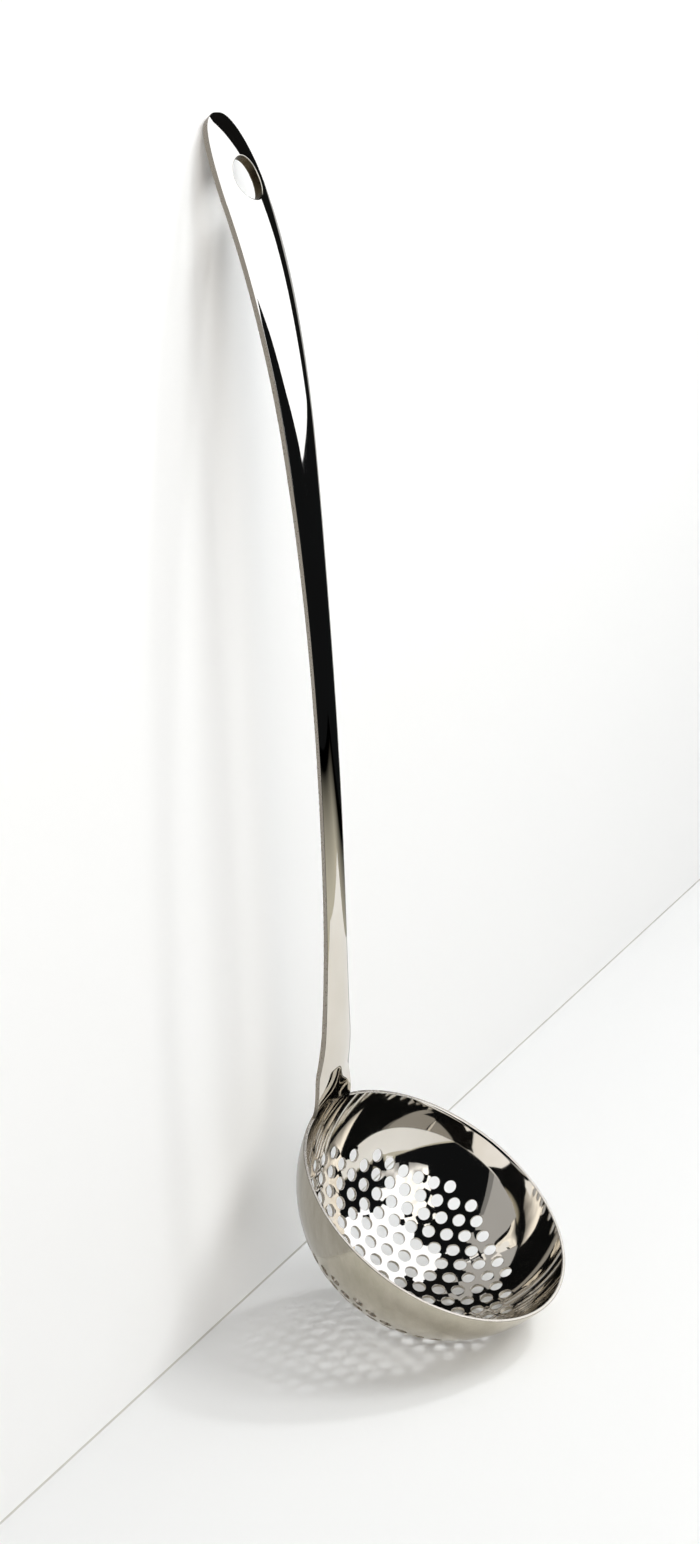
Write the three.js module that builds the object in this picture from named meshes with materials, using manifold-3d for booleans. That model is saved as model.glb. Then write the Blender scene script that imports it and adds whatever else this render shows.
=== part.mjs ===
import * as THREE from 'three';
import { mergeVertices } from 'three/addons/utils/BufferGeometryUtils.js';
import Module from 'manifold-3d';

const wasm = await Module();
wasm.setup();

// Bowl: a drawn steel cap with an even sheet and a flat trimmed rim
const RIM_RADIUS = 42;
const BOWL_SHEET = 1.0;
const BOWL_DEPTH = 34.4;
const RIM_SEGMENTS = 72;
const BORDER_RINGS = 3;

// Straining holes, laid out on the flat sheet and carried round the cap
const STRAIN_RADIUS = 1.9;
const STRAIN_PITCH = 5.6;
const FIELD_RADIUS = 40.2;
const FIELD_BORDER = 4.2;
const STRAIN_SIDES = 10;
const CELL_SIDES = 6;
const SAME_CORNER_SHARE = 0.1;
const ROUNDER_SHARE = 1.001;

// Handle: arc lengths and bend radii along the middle of its front face, from the rim to the tip
const NECK_LENGTH = 24;
const NECK_BEND = 60;
const SHAFT_LENGTH = 165;
const SHAFT_BEND = 1310;
const GRIP_LENGTH = 38.5;
const GRIP_BEND = 350;
const HOOK_LENGTH = 30;
const HOOK_BEND = 204;
const TIP_LENGTH = 21;
const TIP_BEND = 78;

// Handle: widths, the share of the shaft before the narrowest place, and distances back from the tip
const FOOT_WIDTH = 19.6;
const WAIST_WIDTH = 10.5;
const WAIST_SHAFT_SHARE = 0.388;
const GRIP_WIDTH = 22.4;
const WIDEST_FROM_TIP = 20.5;
const ROUNDING_FROM_TIP = 25.9;
const FOOT_POWER = 3.2;
const GRIP_POWER = 1.6;
const TIP_POWER = 2.4;
const TIP_ROUNDNESS = 2.6;
const TIP_END_SHARE = 0.985;

// Handle: thickness, and how far the middle of the front face stands above its two edges
const HANDLE_THICKNESS = 2.4;
const FULL_THICKNESS_AT = 18;
const SHAFT_CROWN = 1.75;
const SHAFT_CROWN_AT = 12;
const GRIP_CROWN = 2.8;
const CROWN_RISE_FROM_TIP = 116.5;
const CROWN_FULL_FROM_TIP = 12.5;
const EDGE_BREAK_SHARE = 0.2;

// Hang hole, pressed through the handle before it is bent
const HANG_FROM_TIP = 19.1;
const HANG_RADIUS = 6;
const HANG_CHAMFER = 0.4;
const HANG_OVERRUN = 1.5;
const HANG_SEGMENTS = 36;

// Neck weld: a thin seam that follows the rim, with a clearance on either side of it
const JOINT_GAP = 0.3;
const WELD_HEIGHT = 1.0;

// How far the ladle leans back from its level rim when it hangs or stands
const LEAN = THREE.MathUtils.degToRad(34.9);

// Shares of the half width where the columns of a handle section stand
const COLUMN_SHARES = [-0.72, -0.48, -0.24, 0, 0.24, 0.48, 0.72];
const NECK_STEPS = 7;
const SHAFT_STEPS = 14;
const GRIP_STEPS = 9;
const TIP_STEPS = 11;
const WELD_STEPS = 2;

// Sizes that follow from the ones above
const innerRim = RIM_RADIUS - BOWL_SHEET;
const innerSphere = (innerRim ** 2 + BOWL_DEPTH ** 2) / (2 * BOWL_DEPTH);
const outerSphere = innerSphere + BOWL_SHEET;
const sphereHeight = innerSphere - BOWL_DEPTH;
const innerRimAngle = Math.acos(sphereHeight / innerSphere);
const outerRimAngle = Math.acos(sphereHeight / outerSphere);
const handleLength = NECK_LENGTH + SHAFT_LENGTH + GRIP_LENGTH + HOOK_LENGTH + TIP_LENGTH;
const plainRadius = FIELD_RADIUS + FIELD_BORDER;
const waistAt = NECK_LENGTH + SHAFT_LENGTH * WAIST_SHAFT_SHARE;
const widestAt = handleLength - WIDEST_FROM_TIP;
const tipFrom = handleLength - ROUNDING_FROM_TIP;
const crownFrom = handleLength - CROWN_RISE_FROM_TIP;
const crownTo = handleLength - CROWN_FULL_FROM_TIP;
const hangAt = handleLength - HANG_FROM_TIP;
const weldTop = JOINT_GAP + WELD_HEIGHT;
const handleStart = weldTop + JOINT_GAP;

// The bends of the handle in order, each an arc of its own radius
const bends = [
  [NECK_LENGTH, NECK_BEND],
  [SHAFT_LENGTH, SHAFT_BEND],
  [GRIP_LENGTH, GRIP_BEND],
  [HOOK_LENGTH, HOOK_BEND],
  [TIP_LENGTH, TIP_BEND],
];

function smooth(value) {
  const share = THREE.MathUtils.clamp(value, 0, 1);
  return share * share * (3 - 2 * share);
}

// Position and direction of the front face's middle line at a distance along it
function middleLine(along) {
  let x = innerRim;
  let z = 0;
  let angle = innerRimAngle;
  let left = along;
  for (const [length, radius] of bends) {
    const step = Math.min(left, length);
    const next = angle - step / radius;
    x += radius * (Math.sin(angle) - Math.sin(next));
    z += radius * (Math.cos(next) - Math.cos(angle));
    angle = next;
    left -= step;
  }
  return { x, z, angle };
}

function halfWidth(along) {
  const flare = Math.max(1 - along / waistAt, 0) ** FOOT_POWER;
  const spread = THREE.MathUtils.clamp((along - waistAt) / (widestAt - waistAt), 0, 1) ** GRIP_POWER;
  const foot = (FOOT_WIDTH - WAIST_WIDTH) * flare;
  const grip = (GRIP_WIDTH - WAIST_WIDTH) * smooth(spread);
  const tip = THREE.MathUtils.clamp((along - tipFrom) / (handleLength - tipFrom), 0, 1);
  const rounding = (1 - tip ** TIP_POWER) ** (1 / TIP_ROUNDNESS);
  return 0.5 * (WAIST_WIDTH + foot + grip) * rounding;
}

function thickness(along) {
  const share = Math.min(along / FULL_THICKNESS_AT, 1);
  return BOWL_SHEET + (HANDLE_THICKNESS - BOWL_SHEET) * share;
}

// Curvature across the front face, from a crown height over a half width
function crownCurvature(height, half) {
  return (2 * height) / (half ** 2 + height ** 2);
}

function sideCurvature(along) {
  if (along > tipFrom) {
    return crownCurvature(GRIP_CROWN, halfWidth(tipFrom));
  }
  const footCrown = Math.sqrt(innerRim ** 2 - (0.5 * FOOT_WIDTH) ** 2) - innerRim;
  const rise = (SHAFT_CROWN - footCrown) * smooth(along / SHAFT_CROWN_AT);
  const gripShare = smooth((along - crownFrom) / (crownTo - crownFrom));
  const grip = (GRIP_CROWN - SHAFT_CROWN) * gripShare;
  return crownCurvature(footCrown + rise + grip, halfWidth(along));
}

// A point of the handle: distance along it, distance across it and depth below the front face
function handlePoint(along, across, depth) {
  const { x, z, angle } = middleLine(along);
  const tilt = Math.asin(across * sideCurvature(along));
  const inward = across * Math.tan(0.5 * tilt) + depth * Math.cos(tilt);
  const levelling = 1 - smooth(along / SHAFT_CROWN_AT);
  const forward = (inward * levelling) / Math.tan(angle);
  return new THREE.Vector3(
    x + inward * Math.sin(angle) + forward * Math.cos(angle),
    across - depth * Math.sin(tilt),
    z - inward * Math.cos(angle) + forward * Math.sin(angle),
  );
}

// One closed ring of points round the handle at a distance along it
function handleRing(along) {
  const half = halfWidth(along);
  const thick = thickness(along);
  const edge = Math.min(EDGE_BREAK_SHARE * thick, EDGE_BREAK_SHARE * half);
  const columns = [-half, edge - half];
  for (const share of COLUMN_SHARES) {
    columns.push(share * half);
  }
  columns.push(half - edge, half);
  const front = [];
  const back = [];
  for (const across of columns) {
    const cut = Math.abs(across) === half ? edge : 0;
    front.push(handlePoint(along, across, cut));
    back.push(handlePoint(along, across, thick - cut));
  }
  return { front, back };
}

// A closed skin over a row of rings, with both ends filled column by column
function skinOver(stations) {
  const points = [];
  const faces = [];
  const columns = COLUMN_SHARES.length + 4;
  const around = 2 * columns;
  for (const along of stations) {
    const ring = handleRing(along);
    points.push(...ring.front, ...ring.back.reverse());
  }
  for (let row = 0; row + 1 < stations.length; row += 1) {
    for (let step = 0; step < around; step += 1) {
      const here = row * around + step;
      const beside = row * around + ((step + 1) % around);
      faces.push([here, beside, beside + around], [here, beside + around, here + around]);
    }
  }
  const last = (stations.length - 1) * around;
  for (let column = 0; column + 1 < columns; column += 1) {
    const under = around - 1 - column;
    faces.push([column, under, under - 1], [column, under - 1, column + 1]);
    faces.push([last + column, last + under - 1, last + under]);
    faces.push([last + column, last + column + 1, last + under - 1]);
  }
  return solid(points, faces);
}

// A geometry from points and faces, turned right side out if its volume comes out negative
function solid(points, faces) {
  const positions = points.flatMap((point) => point.toArray());
  let volume = 0;
  for (const [a, b, c] of faces) {
    volume += points[a].dot(points[b].clone().cross(points[c]));
  }
  const ordered = volume < 0 ? faces.map(([a, b, c]) => [a, c, b]) : faces;
  const geometry = new THREE.BufferGeometry();
  geometry.setAttribute('position', new THREE.Float32BufferAttribute(positions, 3));
  geometry.setIndex(ordered.flat());
  return geometry;
}

function spread(from, to, steps) {
  const places = [];
  for (let step = 0; step < steps; step += 1) {
    places.push(from + ((to - from) * step) / steps);
  }
  return places;
}

// Stations along the handle, closer together where it bends and where the tip rounds off
function handleStations() {
  const shaftEnd = NECK_LENGTH + SHAFT_LENGTH;
  const stations = [
    ...spread(handleStart, NECK_LENGTH, NECK_STEPS),
    ...spread(NECK_LENGTH, shaftEnd, SHAFT_STEPS),
    ...spread(shaftEnd, tipFrom, GRIP_STEPS),
  ];
  const quarter = 0.5 * Math.PI * TIP_END_SHARE;
  for (let step = 0; step <= TIP_STEPS; step += 1) {
    const share = Math.sin((quarter * step) / TIP_STEPS);
    stations.push(tipFrom + (handleLength - tipFrom) * share);
  }
  return stations;
}

// The hang hole's cutter: a turned plug with a chamfer at both faces, bent with the handle
function hangCutter() {
  const thick = thickness(hangAt);
  const wide = HANG_RADIUS + HANG_CHAMFER + HANG_OVERRUN;
  const profile = [
    new THREE.Vector2(0, -HANG_OVERRUN),
    new THREE.Vector2(wide, -HANG_OVERRUN),
    new THREE.Vector2(HANG_RADIUS, HANG_CHAMFER),
    new THREE.Vector2(HANG_RADIUS, thick - HANG_CHAMFER),
    new THREE.Vector2(wide, thick + HANG_OVERRUN),
    new THREE.Vector2(0, thick + HANG_OVERRUN),
  ];
  const plug = welded(new THREE.LatheGeometry(profile, HANG_SEGMENTS));
  const position = plug.getAttribute('position');
  const points = [];
  for (let index = 0; index < position.count; index += 1) {
    const along = hangAt + position.getX(index);
    points.push(handlePoint(along, position.getZ(index), position.getY(index)));
  }
  const order = Array.from(plug.getIndex().array);
  const faces = [];
  while (order.length > 0) {
    faces.push(order.splice(0, 3));
  }
  return solid(points, faces);
}

// Merges doubled vertices and drops faces that have no area
function welded(geometry) {
  const plain = geometry.clone();
  plain.deleteAttribute('normal');
  plain.deleteAttribute('uv');
  const merged = mergeVertices(plain);
  const order = Array.from(merged.getIndex().array);
  const kept = [];
  while (order.length > 0) {
    const [a, b, c] = order.splice(0, 3);
    if (a !== b && b !== c && c !== a) {
      kept.push(a, b, c);
    }
  }
  merged.setIndex(kept);
  return merged;
}

function toManifold(geometry) {
  const merged = welded(geometry);
  const vertProperties = new Float32Array(merged.getAttribute('position').array);
  const triVerts = new Uint32Array(merged.getIndex().array);
  return new wasm.Manifold(new wasm.Mesh({ numProp: 3, vertProperties, triVerts }));
}

function fromManifold(body) {
  const mesh = body.getMesh();
  const geometry = new THREE.BufferGeometry();
  geometry.setAttribute('position', new THREE.Float32BufferAttribute(mesh.vertProperties, 3));
  geometry.setIndex(Array.from(mesh.triVerts));
  return geometry;
}

// Centres of the straining holes on the flat sheet, in columns with every other one set half way
function strainCentres() {
  const columnStep = STRAIN_PITCH * Math.sqrt(0.75);
  const reach = Math.ceil(FIELD_RADIUS / columnStep);
  const centres = [];
  for (let column = -reach; column <= reach; column += 1) {
    const shift = column % 2 === 0 ? 0.5 : 0;
    for (let row = -reach; row <= reach; row += 1) {
      const centre = new THREE.Vector2(column * columnStep, (row + shift) * STRAIN_PITCH);
      if (centre.length() <= FIELD_RADIUS) {
        centres.push(centre);
      }
    }
  }
  return centres;
}

function onCircle(centre, radius, turn) {
  const angle = 2 * Math.PI * turn;
  return new THREE.Vector2(centre.x + radius * Math.cos(angle), centre.y + radius * Math.sin(angle));
}

// The flat sheet inside the plain border: a ring of faces round every hole, then a zigzag seam
function strainSheet() {
  const flat = [];
  const faces = [];
  const loops = [];
  const corners = new Map();
  const edges = new Map();
  const cellRadius = STRAIN_PITCH / Math.sqrt(3);
  const cornerAt = (point) => {
    const key = point.clone().divideScalar(STRAIN_RADIUS * SAME_CORNER_SHARE).round().toArray().join(' ');
    if (!corners.has(key)) {
      corners.set(key, flat.push(point) - 1);
    }
    return corners.get(key);
  };
  for (const centre of strainCentres()) {
    const cell = [];
    for (let side = 0; side < CELL_SIDES; side += 1) {
      cell.push(cornerAt(onCircle(centre, cellRadius, side / CELL_SIDES)));
    }
    const loop = [];
    for (let side = 0; side < STRAIN_SIDES; side += 1) {
      loop.push(flat.push(onCircle(centre, STRAIN_RADIUS, side / STRAIN_SIDES)) - 1);
    }
    loops.push(loop);
    faces.push(...ringFaces(cell, loop));
    cell.forEach((from, side) => {
      const to = cell[(side + 1) % CELL_SIDES];
      if (!edges.delete(`${to} ${from}`)) {
        edges.set(`${from} ${to}`, [from, to]);
      }
    });
  }
  const next = new Map([...edges.values()]);
  const seam = [];
  let corner = next.keys().next().value;
  while (seam.length < next.size) {
    seam.push(corner);
    corner = next.get(corner);
  }
  const border = [];
  for (let step = 0; step < RIM_SEGMENTS; step += 1) {
    border.push(flat.push(onCircle(new THREE.Vector2(), plainRadius, step / RIM_SEGMENTS)) - 1);
  }
  const both = [...border, ...seam];
  const seamPoints = seam.map((index) => flat[index]);
  const borderPoints = border.map((index) => flat[index]);
  const stitched = THREE.ShapeUtils.triangulateShape(borderPoints, [seamPoints]);
  const strip = facedUp(flat, stitched.map((face) => face.map((index) => both[index])));
  faces.push(...rounderFaces(flat, strip));
  return { flat, faces: facedUp(flat, faces), loops, border };
}

// Turns every face of the flat sheet the same way up
function facedUp(flat, faces) {
  return faces.map((face) => {
    const [a, b, c] = face.map((index) => flat[index]);
    return b.clone().sub(a).cross(c.clone().sub(a)) < 0 ? [...face].reverse() : face;
  });
}

function cornerAngle(flat, at, from, to) {
  const first = flat[from].clone().sub(flat[at]);
  const second = flat[to].clone().sub(flat[at]);
  return Math.acos(first.dot(second) / (first.length() * second.length()));
}

// Swaps the edge that two faces share wherever the other diagonal gives rounder faces
function rounderFaces(flat, faces) {
  const owners = new Map();
  for (const face of faces) {
    face.forEach((from, side) => owners.set(`${from} ${face[(side + 1) % 3]}`, face));
  }
  for (const face of faces) {
    for (let side = 0; side < 3; side += 1) {
      const [from, to, apex] = [face[side], face[(side + 1) % 3], face[(side + 2) % 3]];
      const twin = owners.get(`${to} ${from}`);
      if (twin === undefined) {
        continue;
      }
      const other = twin.find((corner) => corner !== from && corner !== to);
      const turn = cornerAngle(flat, apex, from, to) + cornerAngle(flat, other, from, to);
      if (turn > Math.PI * ROUNDER_SHARE) {
        const rest = faces.filter((kept) => kept !== face && kept !== twin);
        return rounderFaces(flat, [...rest, [apex, from, other], [apex, other, to]]);
      }
    }
  }
  return faces;
}

// Faces between a cell and the hole in it, walking round both by turn
function ringFaces(cell, loop) {
  const faces = [];
  let outer = 0;
  let inner = 0;
  while (outer < cell.length || inner < loop.length) {
    const cellHere = cell[outer % cell.length];
    const loopHere = loop[inner % loop.length];
    const nextOuter = (outer + 0.5) / cell.length;
    const nextInner = (inner + 0.5) / loop.length;
    if (nextOuter <= nextInner) {
      outer += 1;
      faces.push([cellHere, cell[outer % cell.length], loopHere]);
    } else {
      inner += 1;
      faces.push([cellHere, loop[inner % loop.length], loopHere]);
    }
  }
  return faces;
}

// A point of the cap from its distance and direction on the flat sheet
function capPoint(point, radius, angle) {
  const direction = Math.atan2(point.y, point.x);
  const flatRadius = radius * Math.sin(angle);
  return new THREE.Vector3(
    flatRadius * Math.cos(direction),
    flatRadius * Math.sin(direction),
    sphereHeight - radius * Math.cos(angle),
  );
}

function bowlGeometry() {
  const { flat, faces, loops, border } = strainSheet();
  const inner = flat.map((point) => capPoint(point, innerSphere, point.length() / innerSphere));
  const outer = flat.map((point) => capPoint(point, outerSphere, point.length() / innerSphere));
  const borderAngle = plainRadius / innerSphere;
  const rings = [border];
  for (let ring = 1; ring <= BORDER_RINGS; ring += 1) {
    const share = ring / BORDER_RINGS;
    const indices = [];
    for (const index of border) {
      indices.push(inner.length);
      const innerAngle = THREE.MathUtils.lerp(borderAngle, innerRimAngle, share);
      const outerAngle = THREE.MathUtils.lerp(borderAngle, outerRimAngle, share);
      inner.push(capPoint(flat[index], innerSphere, innerAngle));
      outer.push(capPoint(flat[index], outerSphere, outerAngle));
    }
    rings.push(indices);
  }
  for (let ring = 0; ring < BORDER_RINGS; ring += 1) {
    for (let step = 0; step < RIM_SEGMENTS; step += 1) {
      const beside = (step + 1) % RIM_SEGMENTS;
      faces.push([rings[ring][step], rings[ring + 1][step], rings[ring + 1][beside]]);
      faces.push([rings[ring][step], rings[ring + 1][beside], rings[ring][beside]]);
    }
  }
  const under = inner.length;
  const shell = [...faces, ...faces.map(([a, b, c]) => [a + under, c + under, b + under])];
  const walls = [...loops, rings[BORDER_RINGS].toReversed()];
  for (const wall of walls) {
    wall.forEach((here, step) => {
      const beside = wall[(step + 1) % wall.length];
      shell.push([here, beside, beside + under], [here, beside + under, here + under]);
    });
  }
  return solid([...inner, ...outer], shell);
}

function steel(colour, roughness) {
  return new THREE.MeshStandardMaterial({ color: colour, roughness, metalness: 1 });
}

// Half turn so that the handle points away from +X, then the lean, then the hang hole to the origin
function placed(name, geometry, material) {
  const hang = handlePoint(hangAt, 0, 0.5 * thickness(hangAt));
  const place = new THREE.Matrix4().makeRotationY(LEAN);
  place.multiply(new THREE.Matrix4().makeRotationZ(Math.PI));
  place.multiply(new THREE.Matrix4().makeTranslation(-hang.x, -hang.y, -hang.z));
  const mesh = new THREE.Mesh(geometry.applyMatrix4(place), material);
  mesh.name = name;
  mesh.geometry.computeVertexNormals();
  return mesh;
}

const handleBody = toManifold(skinOver(handleStations()));
const handle = fromManifold(handleBody.subtract(toManifold(hangCutter())));
const weld = skinOver([...spread(JOINT_GAP, weldTop, WELD_STEPS), weldTop]);

const ladle = new THREE.Group();
ladle.name = 'straining_ladle';
ladle.add(placed('bowl', bowlGeometry(), steel('#c9c7c3', 0.12)));
ladle.add(placed('neck_weld', weld, steel('#bdbab5', 0.2)));
ladle.add(placed('handle', handle, steel('#cbc9c6', 0.12)));

export default ladle;
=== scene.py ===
import math
import bpy
import numpy as np
from mathutils import Matrix, Vector
from mathutils.geometry import delaunay_2d_cdt


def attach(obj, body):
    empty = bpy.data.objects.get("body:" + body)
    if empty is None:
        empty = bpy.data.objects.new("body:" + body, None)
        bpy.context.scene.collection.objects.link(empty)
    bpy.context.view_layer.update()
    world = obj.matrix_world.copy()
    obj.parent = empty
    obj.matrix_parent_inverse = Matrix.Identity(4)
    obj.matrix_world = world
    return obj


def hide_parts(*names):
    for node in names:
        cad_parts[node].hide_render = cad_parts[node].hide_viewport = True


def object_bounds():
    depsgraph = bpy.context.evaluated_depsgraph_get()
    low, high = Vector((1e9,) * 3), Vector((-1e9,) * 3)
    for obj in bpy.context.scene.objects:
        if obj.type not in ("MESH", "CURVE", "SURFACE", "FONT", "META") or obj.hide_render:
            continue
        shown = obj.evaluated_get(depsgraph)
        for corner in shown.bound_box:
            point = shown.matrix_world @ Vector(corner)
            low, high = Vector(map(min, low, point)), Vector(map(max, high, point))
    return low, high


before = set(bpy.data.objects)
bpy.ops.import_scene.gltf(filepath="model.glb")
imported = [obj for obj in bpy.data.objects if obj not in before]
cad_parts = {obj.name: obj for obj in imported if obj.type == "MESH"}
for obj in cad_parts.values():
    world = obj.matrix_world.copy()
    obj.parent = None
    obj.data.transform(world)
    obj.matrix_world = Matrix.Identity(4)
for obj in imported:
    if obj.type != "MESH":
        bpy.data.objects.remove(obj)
cad_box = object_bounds()

# Sizes in metres, the same named sizes as the solids have
RIM_RADIUS = 0.042
SHEET = 0.001
DEPTH = 0.0344
STRAIN_RADIUS = 0.0019
STRAIN_PITCH = 0.0056
FIELD_RADIUS = 0.0402
FOOT_WIDTH = 0.0196
WAIST_WIDTH = 0.0105
WAIST_AT = 0.088
GRIP_WIDTH = 0.0224
GRIP_AT = 0.258
TIP_FROM = 0.2526
THICKNESS = 0.0024
THICK_AT = 0.018
SHAFT_CROWN = 0.00175
SHAFT_CROWN_AT = 0.012
GRIP_CROWN = 0.0028
GRIP_CROWN_FROM = 0.162
GRIP_CROWN_TO = 0.266
HANG_AT = 0.2594
HANG_RADIUS = 0.006
LEAN = math.radians(34.9)

# Length and bend radius of the handle's five stretches, from the rim up
NECK = (0.024, 0.060)
SHAFT = (0.165, 1.310)
GRIP = (0.0385, 0.350)
HOOK = (0.030, 0.204)
TIP = (0.021, 0.078)
BENDS = (NECK, SHAFT, GRIP, HOOK, TIP)
LENGTH = sum(length for length, radius in BENDS)

# How fast the width grows at the foot and the grip, and how full the tip is
FOOT_POWER = 3.2
GRIP_POWER = 1.6
TIP_POWERS = (2.4, 1 / 2.6)

# The bowl's sphere, from its rim and depth
INNER_RIM = RIM_RADIUS - SHEET
INNER = (INNER_RIM ** 2 + DEPTH ** 2) / (2 * DEPTH)
OUTER = INNER + SHEET
CENTRE_Z = INNER - DEPTH
RIM_ANGLE = math.acos(CENTRE_Z / INNER)

# Guards against a division by nothing and a slope past upright
TINY = 1e-12
STEEPEST = 0.99


def smooth(v):
    v = np.clip(v, 0, 1)
    return v * v * (3 - 2 * v)


def unit(v):
    return v / np.linalg.norm(v, axis=-1, keepdims=True)


# What is left of v at right angles to n, as a direction
def square_to(v, n):
    return unit(v - n * np.sum(v * n, -1, keepdims=True))


# Middle line of the handle's front face
def middle(s):
    s = np.asarray(s, float)
    x, z = np.full(s.shape, INNER_RIM), np.zeros(s.shape)
    angle, left = np.full(s.shape, RIM_ANGLE), s.copy()
    for length, radius in BENDS:
        step = np.minimum(left, length)
        turn = angle - step / radius
        x = x + radius * (np.sin(angle) - np.sin(turn))
        z = z + radius * (np.cos(turn) - np.cos(angle))
        angle, left = turn, left - step
    return x, z, angle


def half_width(s):
    s = np.asarray(s, float)
    foot = (FOOT_WIDTH - WAIST_WIDTH) * np.maximum(1 - s / WAIST_AT, 0) ** FOOT_POWER
    along_grip = np.clip((s - WAIST_AT) / (GRIP_AT - WAIST_AT), 0, 1)
    grip = (GRIP_WIDTH - WAIST_WIDTH) * smooth(along_grip ** GRIP_POWER)
    tip = np.clip((s - TIP_FROM) / (LENGTH - TIP_FROM), 0, 1)
    return (WAIST_WIDTH + foot + grip) / 2 * np.maximum(1 - tip ** TIP_POWERS[0], 0) ** TIP_POWERS[1]


def thickness(s):
    return SHEET + (THICKNESS - SHEET) * np.clip(np.asarray(s, float) / THICK_AT, 0, 1)


# Curvature across the handle: hollow at the foot, where it follows the rim, and crowned above
def curvature(s):
    s = np.asarray(s, float)
    low = math.sqrt(INNER_RIM ** 2 - (FOOT_WIDTH / 2) ** 2) - INNER_RIM
    h = low + (SHAFT_CROWN - low) * smooth(s / SHAFT_CROWN_AT)
    h = h + (GRIP_CROWN - SHAFT_CROWN) * smooth((s - GRIP_CROWN_FROM) / (GRIP_CROWN_TO - GRIP_CROWN_FROM))
    w = half_width(s)
    tip_width = float(half_width(TIP_FROM))
    at_tip = 2 * GRIP_CROWN / (tip_width ** 2 + GRIP_CROWN ** 2)
    return np.where(s > TIP_FROM, at_tip, 2 * h / (w ** 2 + h ** 2 + TINY))


# How far the handle's surface is turned sideways at y
def side_turn(s, y):
    return np.arcsin(np.clip(y * curvature(s), -STEEPEST, STEEPEST))


# Ladle axes: origin in the middle of the rim, x to the handle, z out of the bowl
def handle_points(s, y, depth):
    s, y, depth = np.broadcast_arrays(np.asarray(s, float), np.asarray(y, float), np.asarray(depth, float))
    x, z, a = middle(s)
    t = side_turn(s, y)
    inward = y * np.tan(t / 2) + depth * np.cos(t)
    forward = inward * (1 - smooth(s / SHAFT_CROWN_AT)) / np.tan(a)
    return np.stack([x + inward * np.sin(a) + forward * np.cos(a), y - depth * np.sin(t),
                     z - inward * np.cos(a) + forward * np.sin(a)], -1)


# The shared frame's origin is the middle of the hang hole, and the ladle leans on the wall
HX, HZ, HA = (float(v) for v in middle(HANG_AT))
HANG = np.array([HX + THICKNESS / 2 * math.sin(HA), 0, HZ - THICKNESS / 2 * math.cos(HA)])
TURN = np.array([[-math.cos(LEAN), 0, math.sin(LEAN)], [0, -1, 0], [math.sin(LEAN), 0, math.cos(LEAN)]])


def to_frame(points):
    return (points - HANG) @ TURN.T


# One piece's mesh, with two marks: "cut" is 1 on blanked edges and hole walls; the other is 1 outside the bowl
# and in the hang hole, which are satin and carry painted shade
class Skin:
    def __init__(self):
        self.points, self.normals, self.cut, self.satin, self.faces = [], [], [], [], []

    def row(self, points, normals, cut=0.0, satin=0.0):
        ids = list(range(len(self.points), len(self.points) + len(points)))
        self.points += [*points]
        self.normals += [*normals]
        self.cut += [cut] * len(ids)
        self.satin += [satin] * len(ids)
        return ids

    # The face, wound so that it looks the way its vertex normals do
    def wound(self, face):
        corners = [self.points[i] for i in face]
        across = np.cross(corners[1] - corners[0], corners[2] - corners[0])
        if len(face) == 4:
            across = across + np.cross(corners[2] - corners[0], corners[3] - corners[0])
        return tuple(face) if across @ sum(self.normals[i] for i in face) >= 0 else tuple(face[::-1])


# Quads between two rows of vertices
def band(low, high, closed=True):
    pairs = list(zip(low, high))
    following = pairs[1:] + pairs[:1] if closed else pairs[1:]
    return [[a, b, d, c] for (a, b), (c, d) in zip(pairs, following)]


def mesh_object(name, skin, nodes, material):
    me = bpy.data.meshes.new(name)
    placed = np.clip(to_frame(np.array(skin.points)), np.array(cad_box[0]), np.array(cad_box[1]))
    me.from_pydata([tuple(p) for p in placed], [], [skin.wound(f) for f in skin.faces])
    me.validate()
    for p in me.polygons:
        p.use_smooth = True
    for key, values in (("cut", skin.cut), ("satin", skin.satin)):
        me.attributes.new(key, "FLOAT", "POINT").data.foreach_set("value", np.asarray(values, np.float32))
    me.normals_split_custom_set_from_vertices([tuple(n) for n in np.array(skin.normals) @ TURN.T])
    me.materials.append(material)
    ob = bpy.data.objects.new(name, me)
    bpy.context.scene.collection.objects.link(ob)
    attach(ob, "root")
    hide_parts(*nodes)


# Handle: a front and a back sheet on one flat pattern, with a rounded edge and a hole between them
EDGE_STEPS = 5
HOLE_CHAMFER = 0.00035
CHAMFER_STEPS = 3
NEARBY = 1e-5

# The edge is rounded by this share of the thickness, and a little more on the last stretch of the tip
EDGE_SHARE = 0.07
TIP_SOFT, TIP_EXTRA = 0.004, 0.0002

# Turn of the edge, in radians, from which it looks blanked, and over which it goes that way
BLANK_FROM, BLANK_OVER = 0.5, 0.9

# Rows along the handle, with the end of each stretch, and columns across it, closer at the edges
FOOT_TO, FOOT_ROWS = 0.03, 30
SHAFT_TO, SHAFT_ROWS = 0.2, 90
GRIP_ROWS = 40
HOLE_FIELD, HOLE_ROWS = 0.0088, 29
TIP_ROWS, TIP_REACH = 22, math.pi / 2 * 0.985
SEAM_TO, SEAM_ROWS = 0.0016, 5
COLUMNS, COLUMN_REACH = 28, math.pi / 2 * 0.8
COLUMN_SHARES = np.sin(np.linspace(-1, 1, COLUMNS + 1) * COLUMN_REACH) / math.sin(COLUMN_REACH)
RING_SHARES = (0.3, 0.55, 0.75, 0.9, 1.0)


def edge_reach(s):
    return EDGE_SHARE * np.minimum(thickness(s), half_width(s))


# Place, normal and lengthwise direction at a depth in the handle
def on_handle(s, y, depth):
    s = np.minimum(s, LENGTH)
    near = np.minimum(s, LENGTH - NEARBY)
    along = unit(handle_points(near + NEARBY, y, depth) - handle_points(near - NEARBY, y, depth))
    a, t = middle(s)[2], side_turn(s, y)
    up = np.stack([-np.sin(a) * np.cos(t), np.sin(t), np.cos(a) * np.cos(t)], -1)
    return handle_points(s, y, depth), square_to(up, along), along


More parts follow.
